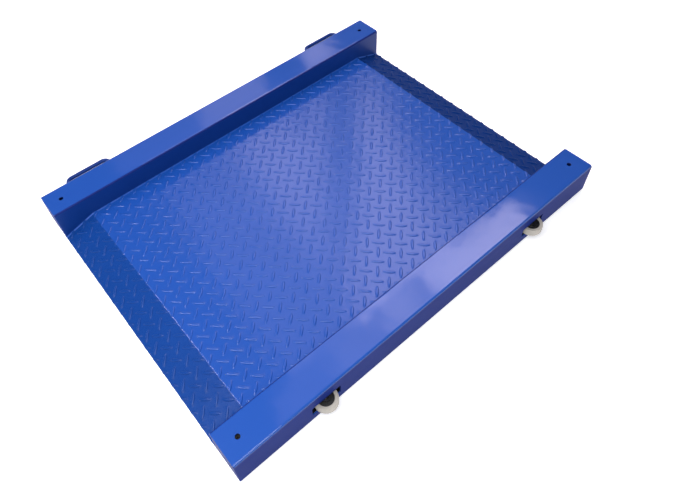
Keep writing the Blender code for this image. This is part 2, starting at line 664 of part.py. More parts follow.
def build_cables(box_bottom, box_top):
    """Four cell cables: two along the back rail, and two along the front rail and through the conduit."""
    cell_end = FOOT_X + CELL_FOOT_OFFSET - CELL_LENGTH - GAP
    box_end = BOX_LENGTH / 2 + GAP
    upper = (box_bottom + box_top) / 2 + BOX_HEIGHT * 0.2
    lower = (box_bottom + box_top) / 2 - BOX_HEIGHT * 0.2
    step = CABLE_BEND * 2.5
    for side, way in (("left", -1), ("right", 1)):
        back = [
            (way * cell_end, BACK_RAIL_Y, CABLE_Z),
            (way * (cell_end - step), BACK_RAIL_Y, CABLE_Z),
            (way * (cell_end - step * 2), BACK_RAIL_Y, upper),
            (way * box_end, BACK_RAIL_Y, upper),
        ]
        tube(f"back_{side}_cell_cable", rounded(back, CABLE_BEND), CABLE_RADIUS, GREY_SHEATH)
        lane_y = FRONT_RAIL_Y + CABLE_LANE
        lane_x = CONDUIT_X + way * CABLE_SPACING
        box_y = BACK_RAIL_Y + way * BOX_WIDTH * 0.25
        front = [
            (way * cell_end, FRONT_RAIL_Y, CABLE_Z),
            (way * (cell_end - CABLE_BEND), FRONT_RAIL_Y, CABLE_Z),
            (way * (cell_end - CABLE_BEND * 2), lane_y, CABLE_Z),
            (lane_x + way * step * 2, lane_y, CABLE_Z),
            (lane_x + way * step, lane_y, CONDUIT_Z),
            (lane_x, lane_y, CONDUIT_Z),
            (lane_x, box_y, CONDUIT_Z),
            (lane_x, box_y, lower),
            (box_end, box_y, lower),
        ]
        tube(f"front_{side}_cell_cable", rounded(front, CABLE_BEND * 0.8), CABLE_RADIUS, GREY_SHEATH)


build_deck()
build_rails()
build_corners()
build_wheels()
build_handles()
build_gland()
build_conduit()
build_cables(*build_junction_box())
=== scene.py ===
"""Looks of a drive-through platform scale: blue enamelled steel, a tread-plate deck and two box rails."""

import math

import bmesh
import bpy
from mathutils import Matrix, Vector


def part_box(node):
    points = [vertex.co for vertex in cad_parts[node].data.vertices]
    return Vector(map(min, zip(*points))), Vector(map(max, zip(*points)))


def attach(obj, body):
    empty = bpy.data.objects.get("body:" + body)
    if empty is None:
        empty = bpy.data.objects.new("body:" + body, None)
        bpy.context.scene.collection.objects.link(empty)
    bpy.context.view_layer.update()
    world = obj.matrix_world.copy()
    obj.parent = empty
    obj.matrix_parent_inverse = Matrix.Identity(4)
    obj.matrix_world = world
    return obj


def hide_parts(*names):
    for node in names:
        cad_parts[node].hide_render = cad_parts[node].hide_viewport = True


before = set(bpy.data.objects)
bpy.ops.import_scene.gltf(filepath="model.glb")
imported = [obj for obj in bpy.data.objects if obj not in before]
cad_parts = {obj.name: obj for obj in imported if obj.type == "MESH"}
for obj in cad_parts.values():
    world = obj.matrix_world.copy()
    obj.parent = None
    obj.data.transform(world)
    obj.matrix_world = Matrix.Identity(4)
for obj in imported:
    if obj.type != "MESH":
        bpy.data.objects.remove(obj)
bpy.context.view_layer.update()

# -------------------- places, from the frame
rail_front_low, rail_front_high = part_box("front_rail")
rail_back_low, rail_back_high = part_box("back_rail")
deck_low, deck_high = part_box("deck_plate")
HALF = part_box("front_right_end_plate")[1].x
FRONT_FACE = rail_front_low.y
LANE_FRONT = rail_front_high.y
LANE_BACK = rail_back_low.y
BACK_FACE = rail_back_high.y
RAIL_FOOT = rail_front_low.z
RAIL_TOP = rail_front_high.z
DECK_TOP = deck_high.z
TOE_FOOT = deck_low.z
CORNERS = ("front_left", "front_right", "back_left", "back_right")
SIDES = ("left", "right")

# -------------------- sheet metal, in metres
RAIL_SHEET = 0.003
RAIL_BEND = 0.005
END_EDGE = 0.0014            # dressed weld round a rail's end
DECK_SHEET = 0.006
DECK_BEND = 0.014
RAMP_LENGTH = 0.092
TOE_THICKNESS = 0.003
KEY_HOLE_RADIUS = 0.006
KEY_HOLE_EDGE = 0.0003
SLOT_LENGTH = 0.082          # wheel slots in the front rail's face
SLOT_HEIGHT = 0.035
SLOT_CORNER = 0.004
GLAND_HOLE_RADIUS = 0.0085
HANDLE_BEND = 0.016          # radius of a handle's middle line at its two corners

# -------------------- tread plate
TREAD_PITCH = 0.042          # between like lozenges, along X and along Y
TREAD_START = (0.003, -0.100)
TREAD_LENGTH = 0.035
TREAD_WIDTH = 0.0086
TREAD_HEIGHT = 0.0021
TREAD_RINGS = ((1.00, 0.00), (0.92, 0.36), (0.80, 0.70), (0.60, 0.92), (0.32, 1.00))
TREAD_REACH = 0.020          # flat plate's share of a cell, from its middle along the lozenge

# -------------------- welds
BEAD_LEG = 0.0028
BEAD_RIPPLE = 0.0030         # length of one ripple along a bead
BEAD_STEP = 0.0010

# -------------------- small parts
SCREW_PITCH = 0.00175
HEAD_KNURLS = 48
GASKET = 0.0008
THREAD_RADIUS = 0.006
THREAD_DEPTH = 0.0010
SPIGOT_RADIUS = 0.004
SAME_POINT = 0.00001         # points closer than this count as one


# -------------------- finishes
def linear(colour):
    """An sRGB hex colour as linear red, green, blue and full alpha."""
    channels = [int(colour[place:place + 2], 16) / 255 for place in (1, 3, 5)]
    light = [c / 12.92 if c <= 0.04045 else ((c + 0.055) / 1.055) ** 2.4 for c in channels]
    return (*light, 1.0)


def add(tree, kind, inputs=None, **settings):
    """Adds one node, with its settings, and gives its sockets their values or links."""
    made = tree.nodes.new(kind)
    for setting, value in settings.items():
        setattr(made, setting, value)
    for socket, value in (inputs or {}).items():
        if isinstance(value, bpy.types.NodeSocket):
            tree.links.new(value, made.inputs[socket])
        else:
            made.inputs[socket].default_value = value
    return made


def start_finish(name, **values):
    """A new material: its node tree, its Principled shader and a place in metres on the object."""
    material = bpy.data.materials.new(name)
    material.use_nodes = True
    tree = material.node_tree
    shader = tree.nodes["Principled BSDF"]
    for socket, value in values.items():
        shader.inputs[socket.replace("_", " ")].default_value = value
    place = add(tree, "ShaderNodeTexCoord").outputs["Object"]
    return material, tree, shader, place


def blend_colours(tree, shader, pattern, colour):
    """Base colour that runs between two close colours over a noise pattern."""
    shade = add(tree, "ShaderNodeMix", {0: pattern.outputs["Fac"]}, data_type="RGBA")
    shade.inputs[6].default_value = linear(colour[0])
    shade.inputs[7].default_value = linear(colour[1])
    tree.links.new(shade.outputs[2], shader.inputs["Base Color"])


def vary_roughness(tree, shader, pattern, roughness):
    limits = {"To Min": roughness[0], "To Max": roughness[1]}
    gloss = add(tree, "ShaderNodeMapRange", {"Value": pattern.outputs["Fac"], **limits})
    tree.links.new(gloss.outputs["Result"], shader.inputs["Roughness"])


def roughen(tree, shader, pattern, strength, distance):
    heights = {"Height": pattern.outputs["Fac"], "Strength": strength, "Distance": distance}
    bump = add(tree, "ShaderNodeBump", heights)
    tree.links.new(bump.outputs["Normal"], shader.inputs["Normal"])


def stoved_enamel(name, colour, roughness, peel, clear, coat=1.0):
    """Blue enamel with fine mica under a clear gloss: a broad blue sheen below a sharp pale reflection."""
    layers = {"Metallic": MICA, "IOR": 1.2, "Coat_Weight": coat, "Coat_IOR": 1.55}
    material, tree, shader, place = start_finish(name, **layers)
    shader.inputs["Coat Roughness"].default_value = clear
    # 0.15 m patches, where the coat is thicker or thinner
    patches = add(tree, "ShaderNodeTexNoise", {"Vector": place, "Scale": 7.0, "Detail": 3.0})
    # 12 mm drifts of overspray
    drift = add(tree, "ShaderNodeTexNoise", {"Vector": place, "Scale": 80.0, "Detail": 4.0})
    blend_colours(tree, shader, patches, colour)
    vary_roughness(tree, shader, drift, roughness)
    # orange peel: 1.6 mm cells, a few microns deep
    cells = add(tree, "ShaderNodeTexNoise", {"Vector": place, "Scale": 620.0, "Detail": 2.0})
    # sheet that isn't quite flat: 60 mm waves
    waves = add(tree, "ShaderNodeTexNoise", {"Vector": place, "Scale": 16.0, "Detail": 1.0})
    wavy = add(tree, "ShaderNodeBump", {"Height": waves.outputs["Fac"], "Strength": 1.0, "Distance": 0.0005})
    peeled = {"Height": cells.outputs["Fac"], "Strength": peel, "Distance": 0.0002}
    bump = add(tree, "ShaderNodeBump", {**peeled, "Normal": wavy.outputs["Normal"]})
    tree.links.new(bump.outputs["Normal"], shader.inputs["Normal"])
    tree.links.new(bump.outputs["Normal"], shader.inputs["Coat Normal"])
    return material


def satin_enamel_with_painted_shade(name, colour, roughness, ior):
    """Blue with little gloss and painted shade: a darker copy of the enamel, for faces that look darker than the
    rails' tops and the deck.
    """
    material, tree, shader, place = start_finish(name, IOR=ior)
    patches = add(tree, "ShaderNodeTexNoise", {"Vector": place, "Scale": 9.0, "Detail": 4.0})
    blend_colours(tree, shader, patches, colour)
    grain = add(tree, "ShaderNodeTexNoise", {"Vector": place, "Scale": 620.0, "Detail": 2.0})
    vary_roughness(tree, shader, grain, roughness)
    roughen(tree, shader, grain, 0.2, 0.0002)
    return material


def plated_steel(name, colour, roughness, grain):
    """Plated steel: a satin metal with fine scratches along the way that it was drawn or ground."""
    material, tree, shader, place = start_finish(name, Metallic=1.0)
    stretched = add(tree, "ShaderNodeMapping", {"Vector": place, "Scale": grain})
    lay = {"Vector": stretched.outputs["Vector"], "Scale": 1.0, "Detail": 5.0}
    scratches = add(tree, "ShaderNodeTexNoise", lay)
    bloom = add(tree, "ShaderNodeTexNoise", {"Vector": place, "Scale": 120.0, "Detail": 3.0})
    blend_colours(tree, shader, bloom, colour)
    vary_roughness(tree, shader, scratches, roughness)
    roughen(tree, shader, scratches, 0.25, 0.0002)
    return material


def moulded(name, colour, roughness, grain_scale, depth):
    """A moulded or cast surface: one body colour, mottled a little, with the mould's fine grain."""
    material, tree, shader, place = start_finish(name, IOR=1.5)
    mottle = add(tree, "ShaderNodeTexNoise", {"Vector": place, "Scale": 60.0, "Detail": 4.0})
    blend_colours(tree, shader, mottle, colour)
    grain = add(tree, "ShaderNodeTexNoise", {"Vector": place, "Scale": grain_scale, "Detail": 3.0})
    vary_roughness(tree, shader, grain, roughness)
    roughen(tree, shader, grain, 0.6, depth)
    return material


MICA = 0.04
BODY_BLUE = ("#12479C", "#164BA2")
# painted shade: darker blues for copies of the one enamel on the ramps and the rails' sides
RAMP_PAINTED_SHADE_BLUE = ("#0D3980", "#103E88")
FAR_RAMP_PAINTED_SHADE_BLUE = ("#0B2C68", "#0E3070")
LANE_PAINTED_SHADE_BLUE = ("#082E74", "#0A3279")
SIDE_PAINTED_SHADE_BLUE = ("#1C2A6A", "#203074")
# name, colours, roughness from and to; then orange peel, clear coat roughness and coat weight
RAIL_ENAMEL = stoved_enamel("blue_enamel_on_folded_sheet", BODY_BLUE, (0.45, 0.52), 0.10, 0.09)
TREAD_ENAMEL = stoved_enamel("blue_enamel_on_tread_plate", BODY_BLUE, (0.46, 0.54), 0.14, 0.15, 0.6)
WELD_ENAMEL = stoved_enamel("blue_enamel_on_weld_beads", BODY_BLUE, (0.48, 0.56), 0.20, 0.34, 0.3)
# the same paint on faces turned another way, given painted shade: darker here than one even paint would be
RAMP_PAINTED_SHADE_ENAMEL = satin_enamel_with_painted_shade("enamel_with_painted_shade_on_the_near_ramp", RAMP_PAINTED_SHADE_BLUE, (0.24, 0.32), 1.27)
FAR_RAMP_PAINTED_SHADE_ENAMEL = satin_enamel_with_painted_shade("enamel_with_painted_shade_on_the_far_ramp", FAR_RAMP_PAINTED_SHADE_BLUE, (0.30, 0.38), 1.08)
LANE_PAINTED_SHADE_ENAMEL = satin_enamel_with_painted_shade("enamel_with_painted_shade_on_the_lane_sides", LANE_PAINTED_SHADE_BLUE, (0.34, 0.44), 1.30)
SIDE_PAINTED_SHADE_ENAMEL = satin_enamel_with_painted_shade("enamel_with_painted_shade_on_the_outer_sides", SIDE_PAINTED_SHADE_BLUE, (0.34, 0.44), 1.06)
NICKEL = plated_steel("satin_nickel_plate", ("#C9C3B4", "#BDB9AE"), (0.22, 0.42), (40.0, 900.0, 900.0))
ZINC = plated_steel("bright_zinc_plate", ("#C5C8CC", "#B5B9B4"), (0.20, 0.38), (500.0, 500.0, 500.0))
BLACK_OXIDE = plated_steel("black_oxide_steel", ("#1D1D20", "#28282B"), (0.35, 0.55), (500.0, 500.0, 500.0))
PRIMER = moulded("dark_primer_on_pressed_steel", ("#0B0C12", "#111219"), (0.38, 0.52), 700.0, 0.0002)
GREY_RUBBER = moulded("grey_moulded_rubber", ("#A19C93", "#AFABA3"), (0.55, 0.72), 900.0, 0.0002)
NYLON = moulded("black_moulded_nylon", ("#141415", "#1B1B1D"), (0.42, 0.56), 1400.0, 0.0001)
BLACK_RUBBER = moulded("black_moulded_rubber", ("#161616", "#1F1F1F"), (0.62, 0.80), 1000.0, 0.0002)
CAST_ALUMINIUM = moulded("sand_textured_cast_aluminium", ("#8D9092", "#9DA0A2"), (0.42, 0.60), 1600.0, 0.0002)
CAST_ALUMINIUM.node_tree.nodes["Principled BSDF"].inputs["Metallic"].default_value = 0.85
SHEATH = moulded("grey_pvc_cable_sheath", ("#54565A", "#5E6064"), (0.40, 0.52), 1500.0, 0.0001)
POTTING = moulded("black_potting_resin", ("#101113", "#16181B"), (0.12, 0.22), 200.0, 0.0001)


# -------------------- making pieces
def as_object(name, form):
    """Uses up a bmesh as the mesh of a new object, with its faces turned outward."""
    bmesh.ops.recalc_face_normals(form, faces=form.faces)
    mesh = bpy.data.meshes.new(name)
    form.to_mesh(mesh)
    form.free()
    made = bpy.data.objects.new(name, mesh)
    bpy.context.scene.collection.objects.link(made)
    return made


def settle(name, form, finish, body="root", stands_for=(), sharp=32.0):
    """Turns a bmesh into a named piece with clean shading, a finish and a body to ride on."""
    piece = as_object(name, form)
    piece.data.shade_smooth()
    piece.data.set_sharp_from_angle(angle=math.radians(sharp))
    piece.data.materials.append(finish)
    weighted = piece.modifiers.new("even_shading", "WEIGHTED_NORMAL")
    weighted.keep_sharp = True
    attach(piece, body)
    if stands_for:
        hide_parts(*stands_for)
    return piece


def refinish(piece, finish, chosen):
    """Gives the faces of a piece that pass a test another finish."""
    piece.data.materials.append(finish)
    for face in piece.data.polygons:
        if chosen(face):
            face.material_index = len(piece.data.materials) - 1


def arc(centre, radius, start, end, steps):
    """Points on a circle from one angle to another, in degrees, both ends included."""
    angles = [math.radians(start + (end - start) * step / steps) for step in range(steps + 1)]
    return [(centre[0] + radius * math.cos(a), centre[1] + radius * math.sin(a)) for a in angles]


def prism(outline, axis, low, high):
    """A flat outline extruded along X, Y or Z; its two coordinates are the other two axes."""
    def point(a, b, along):
        return {"X": (along, a, b), "Y": (a, along, b), "Z": (a, b, along)}[axis]
    form = bmesh.new()
    near = [form.verts.new(point(a, b, low)) for a, b in outline]
    far = [form.verts.new(point(a, b, high)) for a, b in outline]
    form.faces.new(near)
    form.faces.new(list(reversed(far)))
    for place, corner in enumerate(near):
        following = (place + 1) % len(near)
        form.faces.new((corner, far[place], far[following], near[following]))
    return form


def rounded_rectangle(low, high, radius, steps=6):
    """A rectangle's outline with its four corners rounded."""
    (a, b), (c, d) = low, high
    corners = (((c, d), 0), ((a, d), 90), ((a, b), 180), ((c, b), 270))
    outline = []
    for (x, y), start in corners:
        centre = (x - math.copysign(radius, x - (a + c) / 2), y - math.copysign(radius, y - (b + d) / 2))
        outline += arc(centre, radius, start, start + 90, steps)
    return outline


def bridge(form, rings):
    """Fills in the four-sided faces between each closed ring of corners and the next."""
    for lower, upper in zip(rings, rings[1:]):
        for place in range(len(lower)):
            after = (place + 1) % len(lower)
            form.faces.new((lower[place], lower[after], upper[after], upper[place]))


def turned(profile, steps=64, ring=False, wave=0.0, waves=0):
    """A profile of (radius, height) points turned about Z. wave and waves ripple it round the axis."""
    form = bmesh.new()
    loops = []
    for radius, height in profile:
        loop = []
        for step in range(steps if radius > 0 else 1):
            turn = math.tau * step / steps
            reach = radius + wave * math.cos(waves * turn) * (radius > 0)
            loop.append(form.verts.new((reach * math.cos(turn), reach * math.sin(turn), height)))
        loops.append(loop)
    pairs = list(zip(loops, loops[1:]))
    if ring:
        pairs.append((loops[-1], loops[0]))
    for lower, upper in pairs:
        for step in range(steps):
            after = step + 1
            corners = (
                lower[step % len(lower)], lower[after % len(lower)],
                upper[after % len(upper)], upper[step % len(upper)],
            )
            form.faces.new(list(dict.fromkeys(corners)))
    return form


def cylinder(radius, low, high, steps=40):
    return turned([(0.0, low), (radius, low), (radius, high), (0.0, high)], steps)


def placed(form, at=(0.0, 0.0, 0.0), turn=None):
    """Turns a bmesh by a matrix, if one is given, and moves it."""
    matrix = Matrix.Translation(Vector(at)) @ (turn.to_4x4() if turn else Matrix.Identity(4))
    bmesh.ops.transform(form, matrix=matrix, verts=form.verts)
    return form


TO_Y = Matrix.Rotation(math.radians(-90), 3, "X")   # turns a piece made along Z to lie along Y


def together(*forms):
    """Several separate shells in one bmesh."""
    whole = bmesh.new()
    for form in forms:
        mesh = bpy.data.meshes.new("shell")
        bmesh.ops.recalc_face_normals(form, faces=form.faces)
        form.to_mesh(mesh)
        form.free()
        whole.from_mesh(mesh)
        bpy.data.meshes.remove(mesh)
    return whole


def carved(form, tools, operation="DIFFERENCE"):
    """A bmesh with each tool cut out of it by a Boolean."""
    blank = as_object("blank", form)
    cutters = [as_object("cutter", tool) for tool in tools]
    for cutter in cutters:
        step = blank.modifiers.new("cut", "BOOLEAN")
        step.operation = operation
        step.solver = "EXACT"
        step.object = cutter
    result = bmesh.new()
    result.from_object(blank, bpy.context.evaluated_depsgraph_get())
    for spent in [blank] + cutters:
        mesh = spent.data
        bpy.data.objects.remove(spent)
        bpy.data.meshes.remove(mesh)
    return result


def swept(path, radius, sides=20, ripple=None):
    """A round bar along a chain of points, with domed ends. ripple(step) scales its radius."""
    form = bmesh.new()
    points = [Vector(point) for point in path]
    tangents = [(after - before).normalized() for before, after in zip(points, points[1:])]
    along = [tangents[0]] + [(a + b).normalized() for a, b in zip(tangents, tangents[1:])] + [tangents[-1]]
    side = along[0].orthogonal().normalized()
    rings = []
    for step, (point, direction) in enumerate(zip(points, along)):
        side = (side - direction * side.dot(direction)).normalized()
        up = direction.cross(side)
        reach = radius * (ripple(step) if ripple else 1.0)
        rings.append([
            form.verts.new(point + (side * math.cos(t) + up * math.sin(t)) * reach)
            for t in [math.tau * k / sides for k in range(sides)]
        ])
    bridge(form, rings)
    form.faces.new(rings[0])
    form.faces.new(list(reversed(rings[-1])))
    return form


def rounded(route, radius, steps=10):
    """A route through corner points with each inner corner rounded off to this radius."""
    points = [Vector(route[0])]
    for before, corner, after in zip(route, route[1:], route[2:]):
        corner = Vector(corner)
        back = (Vector(before) - corner).normalized()
        ahead = (Vector(after) - corner).normalized()
        half_angle = back.angle(ahead) / 2
        middle = corner + (back + ahead).normalized() * (radius / math.sin(half_angle))
        start = corner + back * (radius / math.tan(half_angle)) - middle
        end = corner + ahead * (radius / math.tan(half_angle)) - middle
        turn = start.angle(end)
        for step in range(steps + 1):
            share = step / steps
            points.append(
                middle
                + start * (math.sin((1 - share) * turn) / math.sin(turn))
                + end * (math.sin(share * turn) / math.sin(turn))
            )
    points.append(Vector(route[-1]))
    return points


def without_seams(node, angle):
    """The CAD node's own mesh, with flat faces that meet within this angle joined into one."""
    form = bmesh.new()
    form.from_mesh(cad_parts[node].data)
    bmesh.ops.remove_doubles(form, verts=form.verts, dist=0.000005)
    limit = math.radians(angle)
    bmesh.ops.dissolve_limit(form, angle_limit=limit, verts=form.verts, edges=form.edges)
    return form


def dressed(node, finish, body="root", edge=0.0006, segments=2):
    """The CAD node's own shape, with its edges eased."""
    piece = settle(node + "_piece", without_seams(node, 1.0), finish, body, [node])
    eased = piece.modifiers.new("eased_edges", "BEVEL")
    eased.width = edge
    eased.segments = segments
    eased.limit_method = "ANGLE"
    eased.angle_limit = math.radians(40)
    piece.modifiers.move(1, 0)
    return piece


# -------------------- deck
RAMP_SLOPE = math.atan2(DECK_TOP - TOE_FOOT - TOE_THICKNESS, RAMP_LENGTH)
BEND_START = HALF - RAMP_LENGTH - DECK_BEND * math.tan(RAMP_SLOPE / 2)
BEND_END = BEND_START + DECK_BEND * RAMP_SLOPE
RAMP_START_X = BEND_START + DECK_BEND * math.sin(RAMP_SLOPE)
SHEET_END = BEND_END + (HALF - RAMP_START_X) / math.cos(RAMP_SLOPE) + TREAD_HEIGHT * math.tan(RAMP_SLOPE)


def folded(along, height):
    """A point of the flat sheet, along it and above its lozenge tops, as X and Z on the folded deck."""
    way = math.copysign(1.0, along)
    along = abs(along)
    if along <= BEND_START:
        return way * along, DECK_TOP + height
    turn = min((along - BEND_START) / DECK_BEND, RAMP_SLOPE)
    x = BEND_START + (DECK_BEND + height) * math.sin(turn)
    z = DECK_TOP - DECK_BEND + (DECK_BEND + height) * math.cos(turn)
    past = max(along - BEND_END, 0.0)
    return way * (x + past * math.cos(RAMP_SLOPE)), z - past * math.sin(RAMP_SLOPE)


def lay_lozenge(form, centre, turned_left):
    """One lozenge and the flat plate round it, up to the neighbouring lozenges' plates."""
    step = TREAD_PITCH / math.sqrt(2)
    long_way = Vector((1, -1, 0) if turned_left else (1, 1, 0)).normalized()
    short_way = Vector((-long_way.y, long_way.x, 0))
    half = step / 2
    short_reach = step - TREAD_REACH
    border = (
        (TREAD_REACH, 0), (half, half), (0, short_reach), (-half, half),
        (-TREAD_REACH, 0), (-half, -half), (0, -short_reach), (half, -half),
    )

    def vertex(a, b, height):
        return form.verts.new(centre + long_way * a + short_way * b + Vector((0, 0, height)))

    outer = [vertex(a, b, -TREAD_HEIGHT) for a, b in border]
    rings = []
    for scale, rise in TREAD_RINGS:
        ring = []
        for place in range(16):
            turn = math.tau * place / 16
            a = TREAD_LENGTH / 2 * math.cos(turn)
            b = TREAD_WIDTH / 2 * math.copysign(abs(math.sin(turn)) ** 0.9, math.sin(turn))
            ring.append(vertex(a * scale, b * scale, TREAD_HEIGHT * (rise - 1)))
        rings.append(ring)
    for place in range(8):
        lens = [rings[0][(2 * place + k) % 16] for k in (2, 1, 0)]
        form.faces.new([outer[place], outer[(place + 1) % 8]] + lens)
    bridge(form, rings)
    form.faces.new(rings[-1])


def split(form, place, normal, clear=False):
    """Cuts a bmesh along a plane and, if asked, clears away the side that the normal points to."""
    geometry = form.verts[:] + form.edges[:] + form.faces[:]
    plane = {"plane_co": place, "plane_no": normal, "clear_outer": clear, "dist": 0.000002}
    bmesh.ops.bisect_plane(form, geom=geometry, **plane)


def build_deck():
    """The tread plate: lozenges laid out on the flat sheet, which is then cut to size and folded."""
    form = bmesh.new()
    reach = math.ceil(SHEET_END / TREAD_PITCH) + 1
    rows = math.ceil(0.5 * (deck_high.y - deck_low.y) / TREAD_PITCH) + 1
    middle_row = round(((deck_high.y + deck_low.y) / 2 - TREAD_START[1]) / TREAD_PITCH)
    for column in range(-reach, reach + 1):
        for row in range(middle_row - rows, middle_row + rows + 1):
            x = TREAD_START[0] + column * TREAD_PITCH
            y = TREAD_START[1] + row * TREAD_PITCH
            lay_lozenge(form, Vector((x, y, 0)), False)
            lay_lozenge(form, Vector((x + TREAD_PITCH / 2, y + TREAD_PITCH / 2, 0)), True)
    bmesh.ops.remove_doubles(form, verts=form.verts, dist=SAME_POINT)
    ground_start = BEND_END + (folded(BEND_END, -DECK_SHEET)[1] - TOE_FOOT) / math.sin(RAMP_SLOPE)
    bend_steps = 3
    folds = [BEND_START + (BEND_END - BEND_START) * step / bend_steps for step in range(bend_steps + 1)]
    folds.append(ground_start)
    for way in (-1, 1):
        split(form, (way * SHEET_END, 0, 0), (way, 0, 0), clear=True)
        for fold in folds:
            split(form, (way * fold, 0, 0), (way, 0, 0))
    split(form, (0, deck_low.y, 0), (0, -1, 0), clear=True)
    split(form, (0, deck_high.y, 0), (0, 1, 0), clear=True)
    # the underside: a copy of the border, one sheet lower, filled between the fold lines
    border = [edge for edge in form.edges if edge.is_boundary]
    below = {}
    for edge in border:
        for corner in edge.verts:
            if corner not in below:
                below[corner] = form.verts.new((corner.co.x, corner.co.y, -DECK_SHEET))
    for edge in border:
        a, b = edge.verts
        form.faces.new((a, b, below[b], below[a]))
    lower = list(below.values())
    lines = sorted([-SHEET_END, SHEET_END] + [way * fold for fold in folds for way in (-1, 1)])
    for start, end in zip(lines, lines[1:]):
        strip = [corner for corner in lower if start - SAME_POINT <= corner.co.x <= end + SAME_POINT]
        front = [corner for corner in strip if corner.co.y < deck_low.y + SAME_POINT]
        back = [corner for corner in strip if corner.co.y > deck_high.y - SAME_POINT]
        inner = [corner for corner in strip if deck_low.y + SAME_POINT <= corner.co.y <= deck_high.y - SAME_POINT]
        front.sort(key=lambda corner: corner.co.x)
        back.sort(key=lambda corner: -corner.co.x)
        inner.sort(key=lambda corner: corner.co.y)
        right_side = [corner for corner in inner if corner.co.x > 0]
        left_side = [corner for corner in reversed(inner) if corner.co.x < 0]
        form.faces.new(front + right_side + back + left_side)
    underneath = set(lower)
    for corner in form.verts:
        along, y, height = corner.co
        x, z = folded(along, height)
        if corner in underneath and z < TOE_FOOT:
            z = TOE_FOOT
            x = folded(along, -TREAD_HEIGHT)[0]
        corner.co = (x, y, z)
    plate = settle("tread_plate_deck", form, TREAD_ENAMEL, stands_for=["deck_plate"], sharp=60.0)
    fold = (BEND_START + BEND_END) / 2
    # the ramps get darker copies of the enamel: painted shade
    refinish(plate, RAMP_PAINTED_SHADE_ENAMEL, lambda face: face.center.x < -fold)
    refinish(plate, FAR_RAMP_PAINTED_SHADE_ENAMEL, lambda face: face.center.x > fold)
    for number in (1, 2, 3):
        dressed(f"deck_rib_{number}", RAIL_ENAMEL, edge=0.0008)


def build_deck_welds():
    """A fillet weld along each side of the deck, following its folds."""
    steps = round(2 * SHEET_END / BEAD_STEP)
    for name, edge, inward in (("front", deck_low.y, 1), ("back", deck_high.y, -1)):
        form = bmesh.new()
        rings = []
        for step in range(steps + 1):
            along = -SHEET_END + 2 * SHEET_END * step / steps
            ripple = 1 + 0.04 * math.cos(math.tau * along / BEAD_RIPPLE) + 0.04 * math.sin(along * 37)
            leg = BEAD_LEG * ripple
            section = [(-0.0003, 0.0), (-0.0003, leg)]
            for t in (0.5, 0.9, 1.25):
                section.append((leg * (1 - math.cos(t)) * 0.86, leg * (1 - math.sin(t) * 0.80)))
            section += [(leg, 0.0)]
            ring = []
            for out, rise in section:
                x, z = folded(along, rise - TREAD_HEIGHT - 0.0001)
                ring.append(form.verts.new((x, edge + inward * out, z)))
            rings.append(ring)
        bridge(form, rings)
        form.faces.new(rings[0])
        form.faces.new(list(reversed(rings[-1])))
        settle(f"{name}_deck_weld", form, WELD_ENAMEL)


# -------------------- rails
def rail_outline(face_low, face_high, top, foot, bend, steps=8):
    """A rail's cross-section: square below, with its two upper folds rounded."""
    right = arc((face_high - bend, top - bend), bend, 0, 90, steps)
    left = arc((face_low + bend, top - bend), bend, 90, 180, steps)
    return [(face_high, foot)] + right + left + [(face_low, foot)]


def build_rail(name, low, high, holes):
    """One rail with its welded ends, as one closed shell, open below."""
    form = prism(rail_outline(low, high, RAIL_TOP, RAIL_FOOT, RAIL_BEND), "X", -HALF, HALF)
    upper_ends = []
    for edge in form.edges:
        at_end = all(abs(abs(corner.co.x) - HALF) < SAME_POINT for corner in edge.verts)
        if at_end and max(corner.co.z for corner in edge.verts) > RAIL_FOOT + 0.001:
            upper_ends.append(edge)
    bmesh.ops.bevel(form, geom=upper_ends, offset=END_EDGE, segments=3, profile=0.5, affect="EDGES")
    ceiling = RAIL_TOP - RAIL_SHEET
    bend = RAIL_BEND - RAIL_SHEET
    inner = rail_outline(low + RAIL_SHEET, high - RAIL_SHEET, ceiling, RAIL_FOOT - 0.002, bend)
    hollow = prism(inner, "X", RAIL_SHEET - HALF, HALF - RAIL_SHEET)
    middle = (low + high) / 2
    for side in SIDES:
        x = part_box(f"{name}_{side}_foot_stem")
        x = (x[0].x + x[1].x) / 2
        profile = [
            (0.0, RAIL_TOP - 2 * RAIL_SHEET), (KEY_HOLE_RADIUS, RAIL_TOP - 2 * RAIL_SHEET),
            (KEY_HOLE_RADIUS, RAIL_TOP - KEY_HOLE_EDGE), (KEY_HOLE_RADIUS + KEY_HOLE_EDGE, RAIL_TOP),
            (KEY_HOLE_RADIUS + 2 * KEY_HOLE_EDGE, RAIL_TOP + KEY_HOLE_EDGE), (0.0, RAIL_TOP + KEY_HOLE_EDGE),
        ]
        holes.append(placed(turned(profile, 40), (x, middle, 0)))
    form = carved(form, [hollow] + holes)
    replaced = [f"{name}_rail", f"{name}_left_end_plate", f"{name}_right_end_plate"]
    rail = settle(f"{name}_box_rail", form, RAIL_ENAMEL, stands_for=replaced)
    outward = math.copysign(1.0, low)
    # the lane faces, the outer faces and the ends get darker copies of the enamel: painted shade
    refinish(rail, LANE_PAINTED_SHADE_ENAMEL, lambda face: face.normal.y * outward < -0.9)
    refinish(rail, SIDE_PAINTED_SHADE_ENAMEL, lambda face: face.normal.y * outward > 0.3 or abs(face.normal.x) > 0.7)


